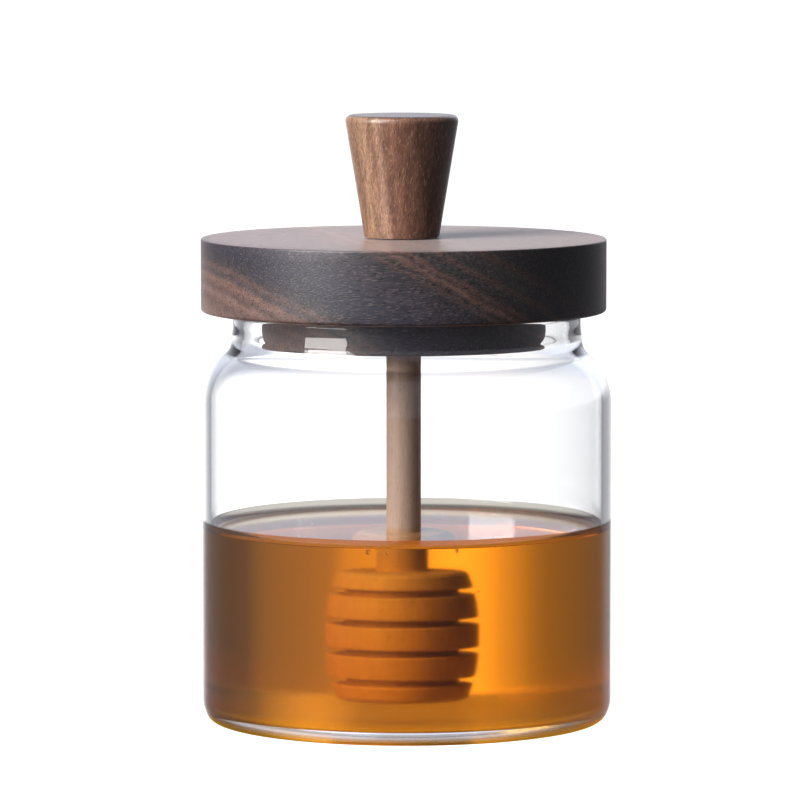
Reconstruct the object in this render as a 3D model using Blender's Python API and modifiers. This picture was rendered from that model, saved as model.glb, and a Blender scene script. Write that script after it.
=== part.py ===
"""Honey pot with dipper: a clear glass jar part filled with honey, closed by a turned wooden lid
that has a tapered knob on top and a grooved honey dipper below. Metres, +Z up, foot at Z = 0."""

import math

import bpy
from mathutils import Vector

MM = 0.001

# Glass jar
BODY_RADIUS = 45.0 * MM
WALL = 2.1 * MM
FLOOR = 3.2 * MM
FOOT_REACH = 3.1 * MM
FOOT_RISE = 5.2 * MM
INNER_CORNER = 3.0 * MM
SHOULDER_START = 69.8 * MM
SHOULDER_RADIUS = 14.2 * MM
SHOULDER_SWEEP = 50.0
NECK_RADIUS = 38.25 * MM
NECK_WALL = 2.3 * MM
NECK_FILLET = 4.6 * MM
RIM_HEIGHT = 89.7 * MM

# Wooden lid and knob; in the photograph both sit slightly to the left of the jar's axis
LID_RADIUS = 44.4 * MM
LID_THICKNESS = 16.0 * MM
LID_TOP_EDGE = 0.4 * MM
LID_BOTTOM_EDGE = 0.8 * MM
LID_SHIFT = -0.6 * MM
PLUG_RADIUS = 31.2 * MM
PLUG_HEIGHT = 7.3 * MM
PLUG_EDGE = 0.5 * MM
KNOB_FOOT_RADIUS = 8.2 * MM
KNOB_TOP_RADIUS = 12.35 * MM
KNOB_HEIGHT = 26.65 * MM
KNOB_EDGE = 1.3 * MM
KNOB_SHIFT = -0.4 * MM

# Dipper
STICK_RADIUS = 3.8 * MM
HEAD_BOTTOM = 6.0 * MM
HEAD_HEIGHT = 28.4 * MM
HEAD_RADIUS = 11.3 * MM
HEAD_END_RADIUS = 9.5 * MM
HEAD_CORE_RADIUS = 8.35 * MM
HEAD_EDGE = 1.4 * MM
GROOVE_COUNT = 4
GROOVE_PITCH = 6.5 * MM
GROOVE_WIDTH = 1.7 * MM
RIDGE_EDGE = 0.35 * MM

# Honey
HONEY_LEVEL = 42.3 * MM
WALL_CLIMB = 2.0 * MM
CLIMB_REACH = 3.6 * MM

# Gap between pieces that touch, so that each stays a solid of its own
GAP = 0.3 * MM

# Facets round the large and the small turned pieces
WIDE_STEPS = 48
SLIM_STEPS = 32

LID_BOTTOM = RIM_HEIGHT + GAP
LID_TOP = LID_BOTTOM + LID_THICKNESS
PLUG_BOTTOM = LID_BOTTOM - PLUG_HEIGHT
HEAD_TOP = HEAD_BOTTOM + HEAD_HEIGHT
HEAD_MIDDLE = HEAD_BOTTOM + HEAD_HEIGHT / 2.0


def arc(center_r, center_z, radius, start, end, steps, rise=None):
    """Points on an arc in the radius and height plane, in degrees from +radius; rise makes it an ellipse."""
    points = []
    for step in range(steps + 1):
        angle = math.radians(start + (end - start) * step / steps)
        height = (rise or radius) * math.sin(angle)
        points.append((center_r + radius * math.cos(angle), center_z + height))
    return points


def neck_and_shoulder(inset, neck_radius, fillet):
    """The curve from the neck out to the body, top to bottom; inset 0 gives the wall's outer face."""
    center_r = BODY_RADIUS - SHOULDER_RADIUS
    radius = SHOULDER_RADIUS - inset
    sweep = math.radians(SHOULDER_SWEEP)
    top_r = center_r + radius * math.cos(sweep)
    top_z = SHOULDER_START + radius * math.sin(sweep)
    # The shoulder's last tangent meets the neck's upright line here, and the fillet rounds that corner
    corner_z = top_z + (top_r - neck_radius) / math.tan(sweep)
    fillet_z = corner_z + fillet * math.tan(sweep / 2.0)
    points = arc(neck_radius + fillet, fillet_z, fillet, 180.0, 180.0 + SHOULDER_SWEEP, 4)
    points += arc(center_r, SHOULDER_START, radius, SHOULDER_SWEEP, 0.0, 7)
    return points


def jar_profile():
    """Half section of the jar: from the middle of its inner floor up to the lip, then down outside."""
    inner_radius = BODY_RADIUS - WALL
    lip = NECK_WALL / 2.0
    points = [(0.0, FLOOR)]
    points += arc(inner_radius - INNER_CORNER, FLOOR + INNER_CORNER, INNER_CORNER, -90.0, 0.0, 4)
    points += reversed(neck_and_shoulder(WALL, NECK_RADIUS - NECK_WALL, NECK_FILLET + NECK_WALL))
    points += arc(NECK_RADIUS - lip, RIM_HEIGHT - lip, lip, 180.0, 0.0, 6)
    points += neck_and_shoulder(0.0, NECK_RADIUS, NECK_FILLET)
    points += arc(BODY_RADIUS - FOOT_REACH, FOOT_RISE, FOOT_REACH, 0.0, -90.0, 6, FOOT_RISE)
    points.append((0.0, 0.0))
    return points


def lid_profile():
    """Half section of the lid: the disc and the plug that hangs in the jar's neck."""
    disc_top = LID_TOP - LID_TOP_EDGE
    disc_bottom = LID_BOTTOM + LID_BOTTOM_EDGE
    points = [(0.0, LID_TOP)]
    points += arc(LID_RADIUS - LID_TOP_EDGE, disc_top, LID_TOP_EDGE, 90.0, 0.0, 2)
    points += arc(LID_RADIUS - LID_BOTTOM_EDGE, disc_bottom, LID_BOTTOM_EDGE, 0.0, -90.0, 3)
    points.append((PLUG_RADIUS, LID_BOTTOM))
    points += arc(PLUG_RADIUS - PLUG_EDGE, PLUG_BOTTOM + PLUG_EDGE, PLUG_EDGE, 0.0, -90.0, 2)
    points.append((0.0, PLUG_BOTTOM))
    return points


def knob_profile():
    """Half section of the knob: a cone that widens upwards to a rounded top edge."""
    foot = LID_TOP + GAP
    top = foot + KNOB_HEIGHT
    taper = math.degrees(math.atan2(KNOB_TOP_RADIUS - KNOB_FOOT_RADIUS, KNOB_HEIGHT - KNOB_EDGE))
    points = [(0.0, top)]
    points += arc(KNOB_TOP_RADIUS - KNOB_EDGE, top - KNOB_EDGE, KNOB_EDGE, 90.0, -taper, 5)
    points.append((KNOB_FOOT_RADIUS, foot))
    points.append((0.0, foot))
    return points


def ridge_radius(z):
    """Outer radius of the dipper's head at height z: a barrel, widest at its middle."""
    share = abs(z - HEAD_MIDDLE) / (HEAD_HEIGHT / 2.0)
    return HEAD_RADIUS - (HEAD_RADIUS - HEAD_END_RADIUS) * share ** 2.4


def dipper_profile():
    """Half section of the dipper: down the stick and over the ridges to the head's underside."""
    stick_top = PLUG_BOTTOM - GAP
    points = [(0.0, stick_top), (STICK_RADIUS, stick_top), (STICK_RADIUS, HEAD_TOP)]
    shoulder_r = ridge_radius(HEAD_TOP) - HEAD_EDGE
    points += arc(shoulder_r, HEAD_TOP - HEAD_EDGE, HEAD_EDGE, 90.0, 15.0, 3)
    for groove in range(GROOVE_COUNT):
        middle = HEAD_MIDDLE + GROOVE_PITCH * ((GROOVE_COUNT - 1) / 2.0 - groove)
        upper = middle + GROOVE_WIDTH / 2.0
        lower = middle - GROOVE_WIDTH / 2.0
        points.append((ridge_radius(upper), upper + RIDGE_EDGE))
        points.append((ridge_radius(upper) - RIDGE_EDGE, upper))
        points.append((HEAD_CORE_RADIUS, upper))
        points.append((HEAD_CORE_RADIUS, lower))
        points.append((ridge_radius(lower) - RIDGE_EDGE, lower))
        points.append((ridge_radius(lower), lower - RIDGE_EDGE))
    bottom_r = ridge_radius(HEAD_BOTTOM) - HEAD_EDGE
    points += arc(bottom_r, HEAD_BOTTOM + HEAD_EDGE, HEAD_EDGE, -15.0, -90.0, 3)
    points.append((0.0, HEAD_BOTTOM))
    return points


def honey_profile():
    """Half section of the honey: its flat top, drawn up where it wets the glass, then down the wall."""
    outer = BODY_RADIUS - WALL - GAP
    corner = INNER_CORNER - GAP
    points = [(0.0, HONEY_LEVEL)]
    for step in range(6):
        share = step / 5.0
        climb = WALL_CLIMB * share ** 2.5
        points.append((outer - CLIMB_REACH * (1.0 - share), HONEY_LEVEL + climb))
    points += arc(outer - corner, FLOOR + GAP + corner, corner, 0.0, -90.0, 4)
    points.append((0.0, FLOOR + GAP))
    return points


def grown(profile, distance):
    """The profile moved outwards by distance, with mitred corners."""
    points = [Vector(point) for point in profile]
    normals = []
    for start, end in zip(points[:-1], points[1:]):
        along = (end - start).normalized()
        normals.append(Vector((-along.y, along.x)))
    moved = []
    for index, point in enumerate(points):
        before = normals[max(index - 1, 0)]
        after = normals[min(index, len(normals) - 1)]
        moved.append(tuple(point + (before + after) * distance / (1.0 + before.dot(after))))
    return moved


def make_material(name, color, roughness, transmission=0.0, ior=1.5):
    """A Principled material of one colour."""
    material = bpy.data.materials.new(name)
    material.use_nodes = True
    material.diffuse_color = (*color, 1.0 - 0.7 * transmission)
    shader = material.node_tree.nodes["Principled BSDF"]
    shader.inputs["Base Color"].default_value = (*color, 1.0)
    shader.inputs["Roughness"].default_value = roughness
    shader.inputs["Metallic"].default_value = 0.0
    shader.inputs["Transmission Weight"].default_value = transmission
    shader.inputs["IOR"].default_value = ior
    return material


def bake(piece):
    """Applies the modifiers and shades the mesh smooth, with its edges over 35 degrees kept sharp."""
    graph = bpy.context.evaluated_depsgraph_get()
    mesh = bpy.data.meshes.new_from_object(piece.evaluated_get(graph))
    mesh.name = piece.name
    mesh.shade_smooth()
    mesh.set_sharp_from_angle(angle=math.radians(35.0))
    piece.modifiers.clear()
    piece.data = mesh


def turn(name, profile, steps, collection, parent, base_z, shift=0.0):
    """A solid of revolution, its origin at height base_z on the parent's axis or shifted from it."""
    mesh = bpy.data.meshes.new(name)
    vertices = [(radius, 0.0, z - base_z) for radius, z in profile]
    edges = [(index, index + 1) for index in range(len(vertices) - 1)]
    mesh.from_pydata(vertices, edges, [])
    piece = bpy.data.objects.new(name, mesh)
    collection.objects.link(piece)
    piece.parent = parent
    piece.location = (shift, 0.0, base_z - parent.location.z)
    screw = piece.modifiers.new("turn", "SCREW")
    screw.steps = steps
    screw.render_steps = steps
    screw.use_merge_vertices = True
    screw.merge_threshold = 0.01 * MM
    bake(piece)
    return piece


def cut(piece, cutter):
    """Takes the cutter's shape out of the piece."""
    boolean = piece.modifiers.new("cut", "BOOLEAN")
    boolean.operation = "DIFFERENCE"
    boolean.solver = "EXACT"
    boolean.object = cutter
    bake(piece)
    cutter.hide_render = True
    cutter.display_type = "WIRE"


def make_frame(name, location, collection):
    """An empty that carries the pieces that are lifted together."""
    frame = bpy.data.objects.new(name, None)
    frame.empty_display_size = 20.0 * MM
    frame.location = location
    collection.objects.link(frame)
    return frame


for item in list(bpy.data.objects):
    bpy.data.objects.remove(item, do_unlink=True)

parts = bpy.data.collections.new("honey_pot")
cutters = bpy.data.collections.new("honey_pot_cutters")
bpy.context.scene.collection.children.link(parts)
bpy.context.scene.collection.children.link(cutters)

pot_frame = make_frame("pot_frame", (0.0, 0.0, 0.0), parts)
lid_frame = make_frame("lid_frame", (LID_SHIFT, 0.0, LID_BOTTOM), parts)

jar = turn("glass_jar", jar_profile(), WIDE_STEPS, parts, pot_frame, 0.0)
honey = turn("honey", honey_profile(), WIDE_STEPS, parts, pot_frame, FLOOR + GAP)
lid = turn("lid", lid_profile(), WIDE_STEPS, parts, lid_frame, LID_BOTTOM)
knob = turn("knob", knob_profile(), SLIM_STEPS, parts, lid_frame, LID_TOP + GAP, KNOB_SHIFT)
dipper = turn("dipper", dipper_profile(), SLIM_STEPS, parts, lid_frame, HEAD_BOTTOM)

# The honey surrounds the dipper's head and the lower end of its stick
cavity = turn("dipper_cavity", grown(dipper_profile(), GAP), SLIM_STEPS, cutters, lid_frame, HEAD_BOTTOM)
bpy.context.view_layer.update()
cut(honey, cavity)

jar.data.materials.append(make_material("clear_glass", (0.93, 0.95, 0.96), 0.02, 1.0, 1.47))
honey.data.materials.append(make_material("amber_honey", (0.80, 0.36, 0.04), 0.05, 0.85, 1.49))
lid.data.materials.append(make_material("dark_walnut", (0.105, 0.062, 0.048), 0.55))
knob.data.materials.append(make_material("red_walnut", (0.23, 0.105, 0.060), 0.38))
dipper.data.materials.append(make_material("pale_beech", (0.45, 0.29, 0.19), 0.6))
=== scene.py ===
import math

import bpy
import numpy as np
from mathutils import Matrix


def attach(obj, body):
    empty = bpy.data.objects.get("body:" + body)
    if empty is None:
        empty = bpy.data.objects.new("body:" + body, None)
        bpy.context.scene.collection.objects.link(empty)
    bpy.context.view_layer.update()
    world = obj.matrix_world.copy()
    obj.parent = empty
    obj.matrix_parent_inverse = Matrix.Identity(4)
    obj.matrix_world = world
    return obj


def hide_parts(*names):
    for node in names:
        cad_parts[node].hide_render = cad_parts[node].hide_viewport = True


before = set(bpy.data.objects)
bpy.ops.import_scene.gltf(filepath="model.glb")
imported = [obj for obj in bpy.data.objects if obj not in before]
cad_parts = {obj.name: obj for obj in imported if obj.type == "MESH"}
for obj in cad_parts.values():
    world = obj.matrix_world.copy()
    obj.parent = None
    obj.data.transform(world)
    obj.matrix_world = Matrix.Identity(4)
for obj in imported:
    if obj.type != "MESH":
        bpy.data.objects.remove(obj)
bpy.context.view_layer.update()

mm = 0.001
sharpAngle = 40.0  # degrees between two faces, above which their edge isn't smoothed


def arcPoints(centerR, centerZ, radius, start, end, steps, rise=None):
    # a circle's arc in the (radius, height) plane, in degrees from +radius; rise makes it an ellipse
    angle = np.radians(np.linspace(start, end, steps + 1))
    return np.stack([centerR + radius * np.cos(angle), centerZ + (rise or radius) * np.sin(angle)], 1)


def upright(radius, fromZ, toZ, count):
    # evenly spaced points on an upright line, without its two ends
    z = np.linspace(fromZ, toZ, count + 2)[1:-1]
    return np.stack([np.full(count, radius), z], 1)


def joinPoints(*pieces):
    # one profile from several runs of points
    return np.concatenate([np.atleast_2d(np.array(piece, float)) for piece in pieces])


def movedOut(profile, distance):
    # every point moved along the mean of its two edges' normals, lengthened so that the edges move by distance
    along = np.diff(profile, axis=0)
    along /= np.linalg.norm(along, axis=1)[:, None]
    normal = np.stack([-along[:, 1], along[:, 0]], 1)
    before = np.concatenate([normal[:1], normal])
    after = np.concatenate([normal, normal[-1:]])
    return profile + (before + after) * distance / (1.0 + (before * after).sum(1))[:, None]


def ringFaces(rings, segments):
    # point i of ring r has number r * segments + i, and the two poles come after the last ring:
    # quads join each ring to the next, and fans of triangles join the end rings to the poles
    row = np.arange(rings - 1)[:, None] * segments
    column = np.arange(segments)
    after = (column + 1) % segments
    quads = np.stack([row + column, row + segments + column, row + segments + after, row + after], 2)
    last, pole = (rings - 1) * segments, rings * segments
    topFan = np.stack([np.full(segments, pole), column, after], 1)
    endFan = np.stack([np.full(segments, pole + 1), last + after, last + column], 1)
    return quads.reshape(-1, 4), np.concatenate([topFan, endFan])


def newPiece(name, points, quads, fans):
    mesh = bpy.data.meshes.new(name)
    mesh.vertices.add(len(points))
    mesh.vertices.foreach_set("co", points.ravel())
    loops = np.concatenate([quads.ravel(), fans.ravel()])
    sizes = np.concatenate([np.full(len(quads), 4), np.full(len(fans), 3)])
    mesh.loops.add(len(loops))
    mesh.loops.foreach_set("vertex_index", loops.astype(np.int32))
    mesh.polygons.add(len(sizes))
    mesh.polygons.foreach_set("loop_start", (np.cumsum(sizes) - sizes).astype(np.int32))
    mesh.update(calc_edges=True)
    mesh.validate()
    mesh.shade_smooth()
    mesh.set_sharp_from_angle(angle=math.radians(sharpAngle))
    piece = bpy.data.objects.new(name, mesh)
    bpy.context.scene.collection.objects.link(piece)
    return piece


def turnedMesh(name, profile, segments, centerX=0.0):
    # position(i, angle) = (centre x of point i + radius i * cos angle, radius i * sin angle, height i);
    # the first and last profile points lie on the axis and become poles
    profile = profile * mm
    centers = np.broadcast_to(np.asarray(centerX, float) * mm, (len(profile),))
    angle = np.linspace(0.0, 2.0 * math.pi, segments, endpoint=False)
    rings = profile[1:-1]
    x = centers[1:-1, None] + rings[:, :1] * np.cos(angle)
    y = rings[:, :1] * np.sin(angle)
    z = np.repeat(rings[:, 1:], segments, 1)
    grid = np.stack([x, y, z], 2).reshape(-1, 3)
    poles = np.array([[centers[0], 0.0, profile[0, 1]], [centers[-1], 0.0, profile[-1, 1]]])
    return newPiece(name, np.concatenate([grid, poles]), *ringFaces(len(rings), segments))


def addNode(tree, kind, inputs=None, **settings):
    # a socket given as an input is linked, and anything else is the input's own value
    node = tree.nodes.new(kind)
    for key, value in settings.items():
        setattr(node, key, value)
    for key, value in (inputs or {}).items():
        if isinstance(value, bpy.types.NodeSocket):
            tree.links.new(value, node.inputs[key])
        else:
            node.inputs[key].default_value = value
    return node


def mathNode(tree, operation, a, b=0.0):
    return addNode(tree, "ShaderNodeMath", {0: a, 1: b}, operation=operation).outputs[0]


def mixValues(tree, factor, a, b):
    inputs = {"Factor": factor, "A": a, "B": b}
    return addNode(tree, "ShaderNodeMix", inputs, data_type="FLOAT").outputs[0]


def mixColors(tree, factor, a, b, blend="MIX"):
    node = addNode(tree, "ShaderNodeMix", {"Factor": factor}, data_type="RGBA", blend_type=blend)
    for socket, value in (("A_Color", a), ("B_Color", b)):
        target = next(item for item in node.inputs if item.identifier == socket)
        if isinstance(value, bpy.types.NodeSocket):
            tree.links.new(value, target)
        else:
            target.default_value = (*value, 1.0)
    return next(item for item in node.outputs if item.identifier == "Result_Color")


def remap(tree, value, low, high, toLow=0.0, toHigh=1.0):
    inputs = {"Value": value, "From Min": low, "From Max": high, "To Min": toLow, "To Max": toHigh}
    return addNode(tree, "ShaderNodeMapRange", inputs).outputs[0]


def softStep(tree, value, start, width):
    inputs = {"Value": value, "From Min": start, "From Max": mathNode(tree, "ADD", start, width)}
    return addNode(tree, "ShaderNodeMapRange", inputs, interpolation_type="SMOOTHSTEP").outputs[0]


def noiseAt(tree, vector, scale, detail=2.0, roughness=0.5):
    inputs = {"Vector": vector, "Scale": scale, "Detail": detail, "Roughness": roughness}
    return addNode(tree, "ShaderNodeTexNoise", inputs).outputs[0]


def stretched(tree, vector, amount):
    # the vector with its x scaled, so that a noise at it is drawn out along X
    return addNode(tree, "ShaderNodeMapping", {"Vector": vector, "Scale": (amount, 1.0, 1.0)}).outputs[0]


def colorRamp(tree, value, stops):
    node = addNode(tree, "ShaderNodeValToRGB", {"Fac": value})
    ramp = node.color_ramp
    while len(ramp.elements) < len(stops):
        ramp.elements.new(0.5)
    for element, (position, color) in zip(ramp.elements, stops):
        element.position = position
        element.color = (*color, 1.0)
    return node.outputs[0]


def makeGroup(name, inputs, outputs):
    tree = bpy.data.node_groups.new(name, "ShaderNodeTree")
    for label, kind, value in inputs:
        socket = tree.interface.new_socket(name=label, in_out="INPUT", socket_type=kind)
        if value is not None:
            socket.default_value = value
    for label in outputs:
        tree.interface.new_socket(name=label, in_out="OUTPUT", socket_type="NodeSocketFloat")
    return tree, tree.nodes.new("NodeGroupInput").outputs, tree.nodes.new("NodeGroupOutput").inputs


def useGroup(tree, group, inputs):
    return addNode(tree, "ShaderNodeGroup", inputs, node_tree=group).outputs


def newMaterial(name):
    material = bpy.data.materials.new(name)
    material.use_nodes = True
    tree = material.node_tree
    return material, tree, tree.nodes["Principled BSDF"], tree.nodes["Material Output"]


def clearMaterial(name, look):
    # rays that gather light on a dull surface inside go straight through, tinted by what the look "lets"
    # through, and all others show the glass itself
    material, tree, shader, output = newMaterial(name)
    shader.inputs["Base Color"].default_value = (*look["tint"], 1.0)
    shader.inputs["Roughness"].default_value = look["roughness"]
    shader.inputs["Metallic"].default_value = 0.0
    shader.inputs["IOR"].default_value = look["ior"]
    shader.inputs["Transmission Weight"].default_value = 1.0
    if "lets" in look:
        path = addNode(tree, "ShaderNodeLightPath").outputs
        lighting = mathNode(tree, "MAXIMUM", path["Is Shadow Ray"], path["Is Diffuse Ray"])
        clear = addNode(tree, "ShaderNodeBsdfTransparent", {"Color": (*look["lets"], 1.0)})
        mix = addNode(tree, "ShaderNodeMixShader", {0: lighting, 1: shader.outputs[0], 2: clear.outputs[0]})
        tree.links.new(mix.outputs[0], output.inputs["Surface"])
    return material, tree, shader, output


woodGrain = {
    # one noise bends the growth zones and a finer one, drawn out along X, feathers them;
    # a noise strays from its middle by about 1 / reach
    "noiseMiddle": 0.5, "reach": 4.0, "bendScale": 0.06,
    "featherStretch": 0.2, "featherScale": 0.8, "featherDetail": 3.0, "featherRoughness": 0.65,
    # how much each noise of the fibres is drawn out, then its scale, detail and roughness
    "streak": (0.08, 0.8, 3.0, 0.6), "thread": (0.07, 4.0, 2.0, 0.6), "pore": (0.22, 3.4, 1.0, 0.5),
    "fleckStretch": 0.16, "fleckDetail": 2.0, "fleckRoughness": 0.6,
    "noiseRange": (0.3, 0.7), "fleckWidth": 0.14, "poreWidth": 0.07, "threadHeight": 0.5,
    # over how many mm the polish of a top face begins, and what the threads add to the roughness
    "topFade": 0.1, "polishFade": 0.5, "threadRoughness": (-0.05, 0.05), "bumpHeight": 0.06,
}

# how far a point lies along the direction across the growth layers, in mm
zoneTree, zoneIn, zoneOut = makeGroup(
    "growthZones",
    [("Vector", "NodeSocketVector", None), ("Across", "NodeSocketVector", None),
     ("Bend", "NodeSocketFloat", 3.0), ("Feather", "NodeSocketFloat", 1.0)],
    ["Distance"],
)


def swayed(distance, noise, amount):
    # the distance moved to and fro by a noise
    sway = mathNode(zoneTree, "SUBTRACT", noise, woodGrain["noiseMiddle"])
    amount = mathNode(zoneTree, "MULTIPLY", amount, woodGrain["reach"])
    return mathNode(zoneTree, "ADD", distance, mathNode(zoneTree, "MULTIPLY", sway, amount))


layers = addNode(
    zoneTree, "ShaderNodeVectorMath", {0: zoneIn["Vector"], 1: zoneIn["Across"]}, operation="DOT_PRODUCT"
).outputs["Value"]
wide = noiseAt(zoneTree, zoneIn["Vector"], woodGrain["bendScale"])
fine = noiseAt(
    zoneTree, stretched(zoneTree, zoneIn["Vector"], woodGrain["featherStretch"]),
    woodGrain["featherScale"], woodGrain["featherDetail"], woodGrain["featherRoughness"],
)
layers = swayed(swayed(layers, wide, zoneIn["Bend"]), fine, zoneIn["Feather"])
zoneTree.links.new(layers, zoneOut["Distance"])

# fibres run along X: soft streaks, fine threads, short flecks and open pores, and a height from them
fibreTree, fibreIn, fibreOut = makeGroup(
    "woodFibres",
    [("Vector", "NodeSocketVector", None), ("Fleck Scale", "NodeSocketFloat", 2.6),
     ("Fleck Level", "NodeSocketFloat", 0.55), ("Pore Level", "NodeSocketFloat", 0.62)],
    ["Streak", "Thread", "Fleck", "Pore", "Height"],
)


def drawnNoise(stretch, scale, detail, roughness):
    return noiseAt(fibreTree, stretched(fibreTree, fibreIn["Vector"], stretch), scale, detail, roughness)


streak = remap(fibreTree, drawnNoise(*woodGrain["streak"]), *woodGrain["noiseRange"])
thread = remap(fibreTree, drawnNoise(*woodGrain["thread"]), *woodGrain["noiseRange"])
fleck = drawnNoise(
    woodGrain["fleckStretch"], fibreIn["Fleck Scale"], woodGrain["fleckDetail"], woodGrain["fleckRoughness"],
)
fleck = softStep(fibreTree, fleck, fibreIn["Fleck Level"], woodGrain["fleckWidth"])
pore = softStep(fibreTree, drawnNoise(*woodGrain["pore"]), fibreIn["Pore Level"], woodGrain["poreWidth"])
height = mathNode(fibreTree, "MULTIPLY", thread, woodGrain["threadHeight"])
height = mathNode(fibreTree, "SUBTRACT", height, pore)
for label, value in (("Streak", streak), ("Thread", thread), ("Fleck", fleck), ("Pore", pore), ("Height", height)):
    fibreTree.links.new(value, fibreOut[label])


def darker(tree, color, amount, depth):
    # the colour scaled down by depth where amount is 1
    return mixColors(tree, amount, color, mixColors(tree, 1.0, color, (1.0 - depth,) * 3, "MULTIPLY"))


def overlaid(tree, color, mask, depth, cover):
    # the cover's colour laid over by depth where the mask is 1
    return mixColors(tree, mathNode(tree, "MULTIPLY", mask, depth), color, cover)


def woodMaterial(name, look):
    material, tree, shader = newMaterial(name)[:3]
    place = addNode(tree, "ShaderNodeTexCoord").outputs["Object"]
    inMm = addNode(tree, "ShaderNodeMapping", {"Vector": place, "Scale": (1.0 / mm,) * 3}).outputs[0]
    fibreTurn = tuple(map(math.radians, look["fibreTurn"]))
    turned = addNode(tree, "ShaderNodeMapping", {"Vector": inMm, "Rotation": fibreTurn}).outputs[0]
    distance = useGroup(tree, zoneTree, {
        "Vector": inMm, "Across": look["across"], "Bend": look["bend"], "Feather": look["feather"],
    })[0]
    fibre = useGroup(tree, fibreTree, {
        "Vector": turned, "Fleck Scale": look["fleckScale"],
        "Fleck Level": look["fleckLevel"], "Pore Level": look["poreLevel"],
    })
    first, last = look["zones"][0][0], look["zones"][-1][0]
    stops = [((at - first) / (last - first), color) for at, color in look["zones"]]
    color = colorRamp(tree, remap(tree, distance, first, last), stops)
    color = darker(tree, color, fibre["Streak"], look["streakDepth"])
    color = darker(tree, color, fibre["Thread"], look["threadDepth"])
    color = overlaid(tree, color, fibre["Fleck"], look["fleckDepth"], look["fleckColor"])
    # a face at polishTop is smoother than the turned side, its colour scaled by topScale and a top colour added on
    # it; on the lid these make a painted sheen that lightens the top face
    high = addNode(tree, "ShaderNodeSeparateXYZ", {0: inMm}).outputs[2]
    polishTop = look["polishTop"]
    onTop = remap(tree, high, polishTop - woodGrain["topFade"], polishTop)
    color = mixColors(tree, onTop, color, (look["topScale"],) * 3, "MULTIPLY")
    color = mixColors(tree, onTop, color, look["topPaintedSheen"], "ADD")
    color = overlaid(tree, color, fibre["Pore"], look["poreDepth"], look["poreColor"])
    tree.links.new(color, shader.inputs["Base Color"])
    polishFrom = polishTop - woodGrain["polishFade"]
    rough = remap(tree, high, polishFrom, polishTop, look["roughness"], look["topRoughness"])
    uneven = remap(tree, fibre["Thread"], 0.0, 1.0, *woodGrain["threadRoughness"])
    tree.links.new(mathNode(tree, "ADD", rough, uneven), shader.inputs["Roughness"])
    bump = addNode(tree, "ShaderNodeBump", {
        "Height": fibre["Height"], "Strength": look["bump"], "Distance": woodGrain["bumpHeight"] * mm,
    })
    tree.links.new(bump.outputs[0], shader.inputs["Normal"])
    shader.inputs["Coat Weight"].default_value = look["coat"]
    shader.inputs["Coat Roughness"].default_value = look["coatRoughness"]
    shader.inputs["Specular IOR Level"].default_value = look["specular"]
    shader.inputs["Sheen Weight"].default_value = look["sheen"]
    shader.inputs["Sheen Roughness"].default_value = look["sheenRoughness"]
    shader.inputs["Sheen Tint"].default_value = (*look["sheenTint"], 1.0)
    return material


jarDims = {
    "bodyRadius": 45.0, "wall": 2.1, "floor": 3.2, "height": 89.95, "wallFrom": 8.0, "wallTo": 69.0,
    "footReach": 3.1, "footRise": 5.2, "footRing": 20.0, "innerCorner": 3.0,
    "shoulderStart": 69.8, "shoulderRadius": 14.2, "shoulderSweep": 50.0,
    "neckRadius": 38.25, "neckWall": 2.3, "neckFillet": 4.6, "neckFrom": 84.3,
    "flare": 0.28, "flareFrom": 87.4, "flareMiddle": 83.8, "flareTo": 80.4,
    "segments": 256,
}
glassLook = {"tint": (0.985, 0.99, 1.0), "roughness": 0.0, "ior": 1.47, "lets": (0.93, 0.94, 0.95)}


def neckAndShoulder(inset, neckRadius, fillet):
    # concave fillet from the upright neck, and the shoulder's arc down to the body; inset moves it inwards
    centerR = jarDims["bodyRadius"] - jarDims["shoulderRadius"]
    radius = jarDims["shoulderRadius"] - inset
    sweep = math.radians(jarDims["shoulderSweep"])
    topR = centerR + radius * math.cos(sweep)
    topZ = jarDims["shoulderStart"] + radius * math.sin(sweep)
    cornerZ = topZ + (topR - neckRadius) / math.tan(sweep)
    filletZ = cornerZ + fillet * math.tan(sweep / 2.0)
    return joinPoints(
        arcPoints(neckRadius + fillet, filletZ, fillet, 180.0, 180.0 + jarDims["shoulderSweep"], 14),
        arcPoints(centerR, jarDims["shoulderStart"], radius, jarDims["shoulderSweep"], 0.0, 22),
    )


def flared(profile):
    # the neck widens a little above its fillet: a hump in height, smooth at both ends and at its middle
    dims = jarDims
    z = profile[:, 1]
    rising = np.clip((dims["flareFrom"] - z) / (dims["flareFrom"] - dims["flareMiddle"]), 0.0, 1.0)
    falling = np.clip((z - dims["flareTo"]) / (dims["flareMiddle"] - dims["flareTo"]), 0.0, 1.0)
    hump = rising ** 2 * (3.0 - 2.0 * rising) * falling ** 2 * (3.0 - 2.0 * falling)
    return profile + np.stack([dims["flare"] * hump, np.zeros(len(z))], 1)


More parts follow.
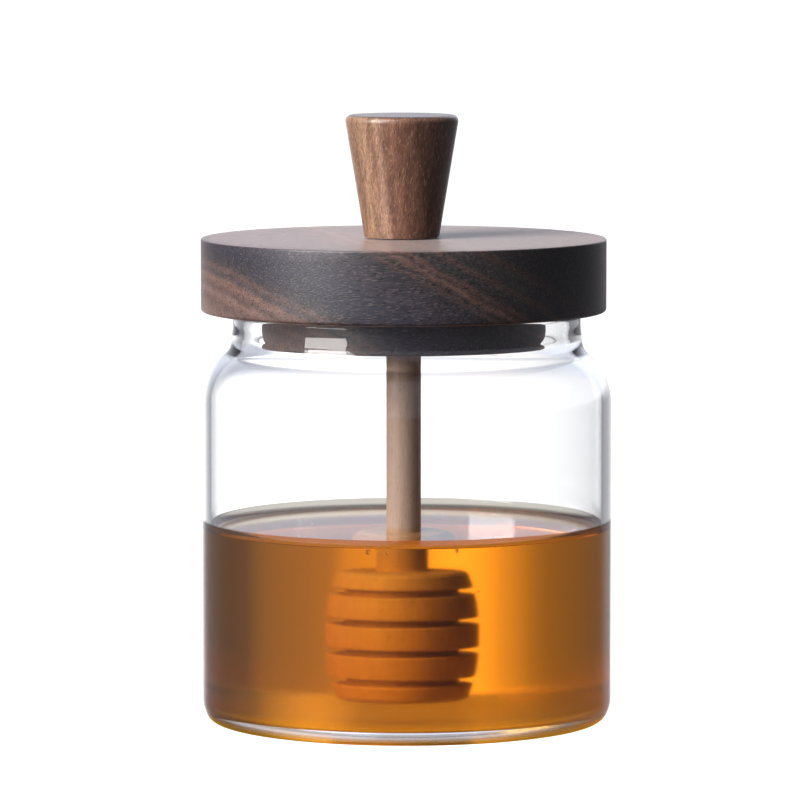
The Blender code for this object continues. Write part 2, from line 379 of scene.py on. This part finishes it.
def jarProfile():
    # up the inside from the floor's middle, over the lip, and down the outside to the foot's middle
    dims = jarDims
    inner = dims["bodyRadius"] - dims["wall"]
    corner, floorZ = dims["innerCorner"], dims["floor"]
    lip = dims["neckWall"] / 2.0
    foot, rise = dims["footReach"], dims["footRise"]
    innerNeck = neckAndShoulder(
        dims["wall"], dims["neckRadius"] - dims["neckWall"], dims["neckFillet"] + dims["neckWall"],
    )
    return joinPoints(
        (0.0, floorZ),
        (dims["footRing"], floorZ),
        arcPoints(inner - corner, floorZ + corner, corner, -90.0, 0.0, 14),
        upright(inner, dims["wallFrom"], dims["wallTo"], 12),
        innerNeck[::-1],
        arcPoints(dims["neckRadius"] - lip, dims["height"] - lip, lip, 180.0, 0.0, 14),
        flared(joinPoints(
            upright(dims["neckRadius"], dims["height"] - lip, dims["neckFrom"], 32),
            neckAndShoulder(0.0, dims["neckRadius"], dims["neckFillet"]),
        )),
        upright(dims["bodyRadius"], dims["wallTo"], dims["wallFrom"], 12),
        arcPoints(dims["bodyRadius"] - foot, rise, foot, 0.0, -90.0, 20, rise),
        (dims["footRing"], 0.0),
        (0.0, 0.0),
    )


jarGlass = turnedMesh("jarGlass", jarProfile(), jarDims["segments"])
jarGlass.data.materials.append(clearMaterial("clearGlass", glassLook)[0])
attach(jarGlass, "root")
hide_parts("glass_jar")
print("glass jar made,", len(jarGlass.data.polygons), "faces")

dipperDims = {
    "shiftX": -0.6, "top": 82.4, "stickRadius": 3.8, "stickEdge": 0.2, "stickFillet": 0.3,
    "headBottom": 6.0, "headHeight": 28.4, "headRadius": 11.3, "endRadius": 9.5, "coreRadius": 8.35,
    "endRound": 1.4, "barrelPower": 2.4, "grooves": 4, "pitch": 6.5, "grooveWidth": 1.4, "ridgeRound": 0.35,
    "segments": 160,
}
dipperLook = {
    "across": (0.8, 0.6, 0.05), "bend": 0.6, "feather": 0.25, "fibreTurn": (0.0, 90.0, 0.0),
    "zones": [
        (-12.0, (0.53, 0.37, 0.27)), (-6.0, (0.60, 0.42, 0.31)), (-1.0, (0.52, 0.35, 0.255)),
        (3.0, (0.59, 0.40, 0.295)), (7.0, (0.49, 0.33, 0.24)), (12.0, (0.57, 0.385, 0.285)),
    ],
    "streakDepth": 0.12, "threadDepth": 0.12,
    "fleckScale": 2.6, "fleckLevel": 0.62, "fleckDepth": 0.3, "fleckColor": (0.36, 0.22, 0.15),
    "poreLevel": 0.66, "poreDepth": 0.5, "poreColor": (0.15, 0.09, 0.06),
    # polishTop is far above the dipper, which has no polished face
    "roughness": 0.55, "topRoughness": 0.55, "polishTop": 500.0, "topScale": 1.0, "topPaintedSheen": (0.0, 0.0, 0.0),
    "bump": 0.35, "coat": 0.0, "coatRoughness": 0.4, "specular": 0.4,
    "sheen": 0.0, "sheenRoughness": 0.3, "sheenTint": (1.0, 0.9, 0.8),
}


def ridgeRadius(z):
    # a barrel: widest at the head's middle, narrowing with a power of the distance from it
    dims = dipperDims
    half = dims["headHeight"] / 2.0
    share = np.abs(np.asarray(z) - (dims["headBottom"] + half)) / half
    return dims["headRadius"] - (dims["headRadius"] - dims["endRadius"]) * share ** dims["barrelPower"]


def barrelRun(fromZ, toZ):
    z = np.linspace(fromZ, toZ, 6)
    return np.stack([ridgeRadius(z), z], 1)


def headProfile():
    # the head from its upper rim down: ridges with rounded edges, and square grooves between them
    dims = dipperDims
    bottom, top = dims["headBottom"], dims["headBottom"] + dims["headHeight"]
    middle = (bottom + top) / 2.0
    soft, end = dims["ridgeRound"], dims["endRound"]
    runs = [arcPoints(ridgeRadius(top - end) - end, top - end, end, 90.0, 0.0, 6)]
    start = top - end
    for groove in range(dims["grooves"]):
        center = middle + dims["pitch"] * ((dims["grooves"] - 1) / 2.0 - groove)
        upper, lower = center + dims["grooveWidth"] / 2.0, center - dims["grooveWidth"] / 2.0
        runs.append(barrelRun(start, upper + soft)[1:-1])
        runs.append(arcPoints(ridgeRadius(upper + soft) - soft, upper + soft, soft, 0.0, -90.0, 5))
        runs.append([(dims["coreRadius"], upper), (dims["coreRadius"], lower)])
        runs.append(arcPoints(ridgeRadius(lower - soft) - soft, lower - soft, soft, 90.0, 0.0, 5))
        start = lower - soft
    runs.append(barrelRun(start, bottom + end)[1:-1])
    runs.append(arcPoints(ridgeRadius(bottom + end) - end, bottom + end, end, 0.0, -90.0, 6))
    return joinPoints(*runs, (0.0, bottom))


def dipperProfile():
    dims = dipperDims
    stick, top, edge, fillet = dims["stickRadius"], dims["top"], dims["stickEdge"], dims["stickFillet"]
    headTop = dims["headBottom"] + dims["headHeight"]
    return joinPoints(
        (0.0, top), (stick - edge, top), (stick, top - edge),
        upright(stick, top - edge, headTop + fillet, 10),
        (stick, headTop + fillet), (stick + fillet, headTop),
        headProfile(),
    )


dipperWood = turnedMesh("dipperWood", dipperProfile(), dipperDims["segments"], dipperDims["shiftX"])
dipperWood.data.materials.append(woodMaterial("paleBeech", dipperLook))
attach(dipperWood, "root")
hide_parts("dipper")
print("dipper made,", len(dipperWood.data.polygons), "faces")

honeyDims = {
    "level": 42.3, "wallClimb": 2.0, "climbReach": 3.6, "climbPower": 5.5, "spacingPower": 1.6,
    "stickClimb": 0.2, "stickReach": 0.6, "stickPower": 2.0, "intoGlass": 0.12, "intoWood": 0.1,
}
honeyLook = {
    "tint": (0.98, 0.95, 0.84), "roughness": 0.11, "ior": 1.49, "lets": (1.0, 0.95, 0.78),
    "reflects": (0.15, 0.15, 0.15), "absorbs": (0.968, 0.728, 0.06), "density": 60.0,
}


def honeyShape():
    # starts under the dipper, follows it up just inside the wood, crosses the surface, which is drawn up
    # at the wood and at the glass by a power of the distance, and follows the jar down just inside its wall
    dims = honeyDims
    level, reach = dims["level"], dims["climbReach"]
    inner = jarDims["bodyRadius"] - jarDims["wall"] + dims["intoGlass"]
    corner = jarDims["innerCorner"] + dims["intoGlass"]
    floorZ = jarDims["floor"] - dims["intoGlass"]
    stick = dipperDims["stickRadius"] - dims["intoWood"]
    headTop = dipperDims["headBottom"] + dipperDims["headHeight"]
    cavity = movedOut(headProfile(), -dims["intoWood"])[::-1]
    share = np.linspace(1.0, 0.0, 9)
    climb = dims["stickClimb"] * share ** dims["stickPower"]
    byStick = np.stack([stick + dims["stickReach"] * (1.0 - share), level + climb], 1)
    flatR = np.linspace(stick + dims["stickReach"], inner - reach, 12)[1:-1]
    flat = np.stack([flatR, np.full(len(flatR), level)], 1)
    share = 1.0 - np.linspace(1.0, 0.0, 27) ** dims["spacingPower"]
    climb = dims["wallClimb"] * share ** dims["climbPower"]
    byGlass = np.stack([inner - reach * (1.0 - share), level + climb], 1)
    profile = joinPoints(
        cavity, (stick, headTop), upright(stick, headTop, level + dims["stickClimb"], 3),
        byStick, flat, byGlass,
        upright(inner, level + dims["wallClimb"], floorZ + corner, 8),
        arcPoints(inner - corner, floorZ + corner, corner, 0.0, -90.0, 14),
        (jarDims["footRing"], floorZ), (0.0, floorZ),
    )
    # the dipper's axis is left of the jar's, so the rings' centres move over from one to the other
    share = np.clip((profile[:, 0] - stick) / (inner - reach - stick), 0.0, 1.0)
    share[:len(cavity)] = 0.0
    share[-2:] = 1.0
    return profile, dipperDims["shiftX"] * (1.0 - share)


def honeyMaterial():
    material, tree, shader, output = clearMaterial("amberHoney", honeyLook)
    shader.inputs["Specular Tint"].default_value = (*honeyLook["reflects"], 1.0)
    absorbed = {"Color": (*honeyLook["absorbs"], 1.0), "Density": honeyLook["density"]}
    body = addNode(tree, "ShaderNodeVolumeAbsorption", absorbed)
    tree.links.new(body.outputs[0], output.inputs["Volume"])
    return material


honeyProfile, honeyCenters = honeyShape()
honeyFill = turnedMesh("honeyFill", honeyProfile, jarDims["segments"], honeyCenters)
honeyFill.data.materials.append(honeyMaterial())
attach(honeyFill, "root")
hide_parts("honey")
print("honey made,", len(honeyFill.data.polygons), "faces")

bubbleLook = {
    # turn round the jar from the front in degrees, height and radius in mm; all just inside the wall
    "places": [
        (-11.0, 41.7, 0.55), (-5.5, 41.6, 0.38), (14.5, 41.9, 0.42), (-34.0, 36.2, 0.22), (21.0, 33.0, 0.20),
        (-62.0, 12.5, 0.30), (47.0, 24.0, 0.22), (160.0, 38.5, 0.40), (205.0, 30.0, 0.25), (118.0, 18.0, 0.24),
        (-118.0, 40.3, 0.36), (74.0, 39.4, 0.28),
    ],
    "inset": 1.1, "rings": 11, "segments": 20,
    "tint": (1.0, 0.93, 0.80), "roughness": 0.0, "ior": 1.25,
}


def bubbleMesh(name):
    # each bubble is a sphere: angle down from its top by ring, angle round it by segment
    look = bubbleLook
    rings, segments = look["rings"], look["segments"]
    places = np.array(look["places"])
    turn, high, radius = np.radians(places[:, 0]), places[:, 1], places[:, 2]
    wallR = jarDims["bodyRadius"] - jarDims["wall"] - look["inset"]
    centers = np.stack([wallR * np.sin(turn), -wallR * np.cos(turn), high], 1)
    down = np.linspace(0.0, math.pi, rings + 2)[1:-1, None]
    around = np.linspace(0.0, 2.0 * math.pi, segments, endpoint=False)
    x, y = np.sin(down) * np.cos(around), np.sin(down) * np.sin(around)
    grid = np.stack([x, y, np.repeat(np.cos(down), segments, 1)], 2).reshape(-1, 3)
    ball = np.concatenate([grid, [[0.0, 0.0, 1.0], [0.0, 0.0, -1.0]]])
    points = (centers[:, None, :] + radius[:, None, None] * ball).reshape(-1, 3) * mm
    quads, fans = ringFaces(rings, segments)
    shift = np.arange(len(places))[:, None, None] * len(ball)
    return newPiece(name, points, (quads + shift).reshape(-1, 4), (fans + shift).reshape(-1, 3))


bubbles = bubbleMesh("bubbles")
bubbles.data.materials.append(clearMaterial("airBubble", bubbleLook)[0])
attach(bubbles, "root")
print("bubbles made,", len(bubbleLook["places"]))

lidDims = {
    "shiftX": -0.6, "radius": 44.4, "bottom": 90.0, "thickness": 16.0, "topEdge": 0.4, "bottomEdge": 0.8,
    "topRings": (20.0, 36.0), "plugRadius": 31.2, "plugHeight": 7.3, "plugEdge": 0.5, "plugRing": 16.0,
    "sideInset": 1.0, "segments": 256,
}
lidLook = {
    # zones by distance across the layers, which slope down to the right on the front: grain streaks, with painted
    # light and shade in them
    "across": (0.477, 0.10, 0.879), "bend": 0.7, "feather": 0.5, "fibreTurn": (0.0, 3.0, 6.0),
    "zones": [
        # painted light makes the left zones lighter and reddish, a painted purple-grey sheen tints the middle
        # ones, and painted shade makes the right ones darkest
        (52.0, (0.13, 0.070, 0.054)), (58.0, (0.30, 0.18, 0.15)), (61.0, (0.16, 0.090, 0.074)),
        (62.2, (0.28, 0.16, 0.13)), (63.6, (0.14, 0.078, 0.066)), (65.0, (0.24, 0.13, 0.10)),
        (66.4, (0.070, 0.050, 0.054)), (67.4, (0.14, 0.080, 0.068)), (68.6, (0.044, 0.034, 0.044)),
        (71.0, (0.030, 0.027, 0.047)), (76.0, (0.048, 0.042, 0.066)), (80.0, (0.060, 0.050, 0.068)),
        (83.6, (0.050, 0.043, 0.056)), (84.8, (0.12, 0.072, 0.064)), (85.6, (0.054, 0.041, 0.046)),
        (86.8, (0.23, 0.125, 0.10)), (87.6, (0.088, 0.053, 0.052)), (88.3, (0.17, 0.090, 0.072)),
        (89.4, (0.060, 0.050, 0.055)), (91.0, (0.070, 0.060, 0.066)), (92.0, (0.15, 0.088, 0.074)),
        (93.0, (0.072, 0.063, 0.066)), (95.6, (0.082, 0.066, 0.067)), (96.6, (0.12, 0.074, 0.064)),
        (98.0, (0.060, 0.053, 0.055)), (104.0, (0.042, 0.038, 0.039)), (112.0, (0.034, 0.030, 0.031)),
    ],
    "streakDepth": 0.40, "threadDepth": 0.5,
    "fleckScale": 3.8, "fleckLevel": 0.52, "fleckDepth": 0.45, "fleckColor": (0.17, 0.13, 0.125),
    "poreLevel": 0.60, "poreDepth": 0.8, "poreColor": (0.008, 0.006, 0.006),
    # topScale and the added top colour paint the lid's top face lighter: a painted sheen
    "roughness": 0.46, "topRoughness": 0.33, "polishTop": 105.9, "topScale": 1.3, "topPaintedSheen": (0.045, 0.024, 0.018),
    "bump": 0.3, "coat": 0.0, "coatRoughness": 0.3, "specular": 0.6,
    "sheen": 0.33, "sheenRoughness": 0.3, "sheenTint": (1.0, 0.80, 0.74),
}
knobDims = {
    "shiftX": -1.0, "foot": 106.3, "height": 26.65, "footRadius": 8.2, "topRadius": 12.35, "edge": 1.3,
    "topRing": 6.0, "segments": 160,
}
knobLook = {
    "across": (0.98, -0.12, 0.10), "bend": 0.35, "feather": 0.4, "fibreTurn": (0.0, 86.0, 0.0),
    # the zones run left to right on the front: grain bands, with painted light making the left ones lighter and
    # orange and painted shade making them darker towards the right
    "zones": [
        (-4.0, (0.22, 0.11, 0.065)), (0.5, (0.48, 0.27, 0.165)), (2.6, (0.34, 0.175, 0.105)),
        (4.6, (0.54, 0.31, 0.19)), (6.6, (0.38, 0.185, 0.115)), (7.8, (0.52, 0.285, 0.18)),
        (9.4, (0.27, 0.12, 0.078)), (11.0, (0.38, 0.175, 0.115)), (12.4, (0.27, 0.12, 0.08)),
        (15.0, (0.30, 0.14, 0.095)), (16.5, (0.20, 0.092, 0.066)), (19.0, (0.25, 0.12, 0.09)),
        (25.0, (0.18, 0.10, 0.085)),
    ],
    "streakDepth": 0.48, "threadDepth": 0.52,
    "fleckScale": 3.6, "fleckLevel": 0.55, "fleckDepth": 0.35, "fleckColor": (0.62, 0.40, 0.22),
    "poreLevel": 0.66, "poreDepth": 0.75, "poreColor": (0.07, 0.034, 0.022),
    "roughness": 0.40, "topRoughness": 0.26, "polishTop": 132.8, "topScale": 0.35, "topPaintedSheen": (0.0, 0.0, 0.0),
    "bump": 0.4, "coat": 0.25, "coatRoughness": 0.25, "specular": 0.5,
    "sheen": 0.0, "sheenRoughness": 0.3, "sheenTint": (1.0, 0.9, 0.8),
}


def lidProfile():
    # from the top's middle out, down the side, in under the rim, down the plug and in to its middle
    dims = lidDims
    radius, plug = dims["radius"], dims["plugRadius"]
    topEdge, bottomEdge, plugEdge = dims["topEdge"], dims["bottomEdge"], dims["plugEdge"]
    top, bottom = dims["bottom"] + dims["thickness"], dims["bottom"]
    plugBottom = bottom - dims["plugHeight"]
    return joinPoints(
        (0.0, top), *[(ring, top) for ring in dims["topRings"]],
        arcPoints(radius - topEdge, top - topEdge, topEdge, 90.0, 0.0, 6),
        upright(radius, top - dims["sideInset"], bottom + dims["sideInset"], 8),
        arcPoints(radius - bottomEdge, bottom + bottomEdge, bottomEdge, 0.0, -90.0, 8),
        (plug, bottom),
        upright(plug, bottom, plugBottom + dims["sideInset"], 3),
        arcPoints(plug - plugEdge, plugBottom + plugEdge, plugEdge, 0.0, -90.0, 6),
        (dims["plugRing"], plugBottom), (0.0, plugBottom),
    )


def knobProfile():
    # over the rounded top edge, down the straight taper and in to the foot's middle
    dims = knobDims
    edge, topR, footR, foot = dims["edge"], dims["topRadius"], dims["footRadius"], dims["foot"]
    top = foot + dims["height"]
    taper = math.degrees(math.atan2(topR - footR, dims["height"] - edge))
    rim = arcPoints(topR - edge, top - edge, edge, 90.0, -taper, 12)
    share = np.linspace(0.0, 1.0, 12)[1:, None]
    cone = rim[-1] * (1.0 - share) + np.array([footR, foot]) * share
    return joinPoints((0.0, top), (dims["topRing"], top), rim, cone, (0.0, foot))


lidWood = turnedMesh("lidWood", lidProfile(), lidDims["segments"], lidDims["shiftX"])
lidWood.data.materials.append(woodMaterial("darkWalnut", lidLook))
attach(lidWood, "root")
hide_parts("lid")
knobWood = turnedMesh("knobWood", knobProfile(), knobDims["segments"], knobDims["shiftX"])
knobWood.data.materials.append(woodMaterial("redWalnut", knobLook))
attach(knobWood, "root")
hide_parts("knob")
print("lid and knob made,", len(lidWood.data.polygons) + len(knobWood.data.polygons), "faces")

# lengths here are in metres and angles in degrees
studio = {
    "floorHalf": 12.0, "floorDrop": 0.0002, "floorSeen": 0.93, "floorDiffuse": (0.6, 0.6, 0.6),
    "underRadius": 0.0465, "underFade": 0.003, "underColor": (0.66, 0.36, 0.03),
    "keyAngle": -54.0, "keyHeight": 33.0, "keyDistance": 1.1, "keyAim": 0.07,
    "keySize": (0.66, 1.30), "keyPower": 30.0, "keyColor": (1.0, 0.985, 0.97),
    "dimTone": (0.93, 0.93, 1.04), "brightTone": (1.0, 1.0, 1.0), "skyTone": (0.90, 0.94, 1.06),
    "overhead": 0.22, "tableBehind": 0.26, "tableElsewhere": 0.09,
    "glowBelow": 0.75, "glowRound": 0.85, "glowEmpty": 1.25,
}
# where one brightness passes into the next, by a ray's rise: the sine of its angle above the horizon
rises = {
    "tableToBackdrop": (-0.04, 0.05), "backdropToOverhead": (0.50, 0.85), "farToNearTable": (-0.14, -0.32),
    "nearTableToFoot": (-0.60, -0.85), "steepToPlain": (-0.52, -0.40), "plainToBelow": (-0.21, -0.25),
    "levelToUpward": (0.0, 0.05), "levelToSky": (0.0, 0.06),
}
tableBehindFrom = (-0.2, 0.4)  # how far behind the pot a ray points, from 0 at its side to 1 straight behind

# brightness round the pot by angle from straight behind it, left negative, and by height:
# the far table just under the horizon, and the backdrop above it
farTable = [
    (-180, 0.11), (-130, 0.26), (-75, 0.30), (-57, 0.24), (-45, 0.29), (-37, 0.34), (-31, 0.41), (-26, 0.58),
    (-22, 0.88), (-18, 1.20), (-14, 1.80), (-9, 2.30), (-3, 1.80), (3, 1.25), (9, 1.05), (11.5, 0.95),
    (13.5, 0.64), (19, 0.51), (28, 0.41), (33, 0.32), (39, 0.15), (48, 0.13), (63, 0.12), (90, 0.10),
    (140, 0.09), (180, 0.11),
]
backdrop = [
    (-180, 0.11), (-130, 0.26), (-75, 0.30), (-57, 0.28), (-37, 0.34), (-29, 0.48), (-22, 0.74), (-14, 0.98),
    (-8, 0.84), (8, 0.90), (13, 1.35), (18, 1.50), (22, 1.30), (28, 0.90), (36, 0.34), (50, 0.18), (90, 0.10),
    (140, 0.09), (180, 0.11),
]
# how far glowRound takes over through the glass, and glowEmpty through the empty glass, by the same angle
roundShare = [(-180, 1.0), (-102, 1.0), (-81, 0.0), (72, 0.0), (89, 1.0), (180, 1.0)]
emptyShare = [(-180, 0.0), (4, 0.0), (9, 1.0), (70, 1.0), (89, 0.0), (180, 0.0)]

floorMesh = bpy.data.meshes.new("floor")
half = studio["floorHalf"]
corners = [(-half, -half, 0.0), (half, -half, 0.0), (half, half, 0.0), (-half, half, 0.0)]
floorMesh.from_pydata(corners, [], [(0, 1, 2, 3)])
floor = bpy.data.objects.new("floor", floorMesh)
bpy.context.scene.collection.objects.link(floor)
floor.location.z = -studio["floorDrop"]
floorMaterial, tree, shader, output = newMaterial("whiteFloor")
tree.nodes.remove(shader)
seen = addNode(tree, "ShaderNodeEmission", {"Color": (1.0, 1.0, 1.0, 1.0), "Strength": studio["floorSeen"]})
lit = addNode(tree, "ShaderNodeBsdfDiffuse", {"Color": (*studio["floorDiffuse"], 1.0)})
whole = addNode(tree, "ShaderNodeAddShader", {0: seen.outputs[0], 1: lit.outputs[0]})
# rays that left the pot pass through to the studio's surround, which stands for the real table too,
# except right under the pot, where the table glows with the light that came through the honey
place = addNode(tree, "ShaderNodeTexCoord").outputs["Object"]
fromAxis = addNode(tree, "ShaderNodeVectorMath", {0: place}, operation="LENGTH").outputs["Value"]
outside = remap(tree, fromAxis, studio["underRadius"] - studio["underFade"], studio["underRadius"])
away = addNode(tree, "ShaderNodeBsdfTransparent", {"Color": (1.0, 1.0, 1.0, 1.0)})
under = addNode(tree, "ShaderNodeEmission", {"Color": (*studio["underColor"], 1.0), "Strength": 1.0})
other = addNode(tree, "ShaderNodeMixShader", {0: outside, 1: under.outputs[0], 2: away.outputs[0]})
cameraRay = addNode(tree, "ShaderNodeLightPath").outputs["Is Camera Ray"]
mix = addNode(tree, "ShaderNodeMixShader", {0: cameraRay, 1: other.outputs[0], 2: whole.outputs[0]})
tree.links.new(mix.outputs[0], output.inputs["Surface"])
floorMesh.materials.append(floorMaterial)

world = bpy.data.worlds.new("studio")
bpy.context.scene.world = world
world.use_nodes = True
tree = world.node_tree
tree.nodes.clear()
direction = addNode(tree, "ShaderNodeTexCoord").outputs["Generated"]
toRight, toBehind, rise = addNode(tree, "ShaderNodeSeparateXYZ", {0: direction}).outputs
# the angle round the pot from straight behind it, from 0 at -180 degrees to 1 at 180
turn = mathNode(tree, "DIVIDE", mathNode(tree, "ARCTAN2", toRight, toBehind), 2.0 * math.pi)
turn = mathNode(tree, "ADD", turn, 0.5)


def glowAround(stops):
    # the ramp holds half of each value, because its colours end at 1
    ramp = colorRamp(tree, turn, [(angle / 360.0 + 0.5, (value / 2.0,) * 3) for angle, value in stops])
    return mathNode(tree, "MULTIPLY", addNode(tree, "ShaderNodeRGBToBW", {0: ramp}).outputs[0], 2.0)


def risen(name):
    # 0 before and 1 after the named passage
    return remap(tree, rise, *rises[name])


glow = mixValues(tree, risen("tableToBackdrop"), glowAround(farTable), glowAround(backdrop))
glow = mixValues(tree, risen("backdropToOverhead"), glow, studio["overhead"])
near = remap(tree, toBehind, *tableBehindFrom, studio["tableElsewhere"], studio["tableBehind"])
near = mixValues(tree, risen("nearTableToFoot"), near, studio["tableElsewhere"])
glow = mixValues(tree, risen("farToNearTable"), glow, near)
# through the glass, a plain pale room is seen from above, and from the sides and behind, but not in the
# glass's reflections of what is before it, which would veil the honey
path = addNode(tree, "ShaderNodeLightPath").outputs
unmirrored = mathNode(tree, "LESS_THAN", path["Glossy Depth"], 0.5)
unmirrored = mathNode(tree, "MAXIMUM", unmirrored, risen("levelToUpward"))
through = mathNode(tree, "MULTIPLY", path["Is Transmission Ray"], unmirrored)
plain = mathNode(tree, "MULTIPLY", through, risen("steepToPlain"))
below = mathNode(tree, "MULTIPLY", plain, risen("plainToBelow"))
glow = mixValues(tree, below, glow, studio["glowBelow"])
glow = mixValues(tree, mathNode(tree, "MULTIPLY", plain, glowAround(roundShare)), glow, studio["glowRound"])
# the empty glass is four surfaces deep, and shows a brighter room at its right edge than the honey does
empty = mathNode(tree, "MULTIPLY", mathNode(tree, "LESS_THAN", path["Transmission Depth"], 4.5), through)
glow = mixValues(tree, mathNode(tree, "MULTIPLY", empty, glowAround(emptyShare)), glow, studio["glowEmpty"])
glow = mixValues(tree, path["Is Camera Ray"], glow, 1.0)
tone = mixColors(tree, glow, studio["dimTone"], studio["brightTone"])
tone = mixColors(tree, risen("levelToSky"), tone, studio["skyTone"])
background = addNode(tree, "ShaderNodeBackground", {"Color": tone, "Strength": glow})
addNode(tree, "ShaderNodeOutputWorld", {"Surface": background.outputs[0]})

# a tall window at the left, which faces the pot's middle
keyAngle, keyHeight = math.radians(studio["keyAngle"]), math.radians(studio["keyHeight"])
keyData = bpy.data.lights.new("keySoftbox", "AREA")
keyData.shape = "RECTANGLE"
keyData.size, keyData.size_y = studio["keySize"]
keyData.energy = studio["keyPower"]
keyData.color = studio["keyColor"]
key = bpy.data.objects.new("keySoftbox", keyData)
reach = studio["keyDistance"]
key.location = (
    reach * math.sin(keyAngle) * math.cos(keyHeight),
    -reach * math.cos(keyAngle) * math.cos(keyHeight),
    studio["keyAim"] + reach * math.sin(keyHeight),
)
key.rotation_euler = (math.pi / 2.0 - keyHeight, 0.0, keyAngle)
bpy.context.scene.collection.objects.link(key)

# the camera's tilt below level is in radians
photoView = {"lens": 283.3, "sensor": 36.0, "clipEnd": 50.0, "place": (-0.0014, -1.3749, 0.1971), "tilt": 0.0919}
cameraData = bpy.data.cameras.new("camera")
cameraData.lens = photoView["lens"]
cameraData.sensor_width = photoView["sensor"]
cameraData.clip_end = photoView["clipEnd"]
camera = bpy.data.objects.new("camera", cameraData)
camera.location = photoView["place"]
camera.rotation_euler = (math.pi / 2.0 - photoView["tilt"], 0.0, 0.0)
bpy.context.scene.collection.objects.link(camera)
bpy.context.scene.camera = camera
bpy.context.scene.view_settings.view_transform = "Standard"
print("studio made")
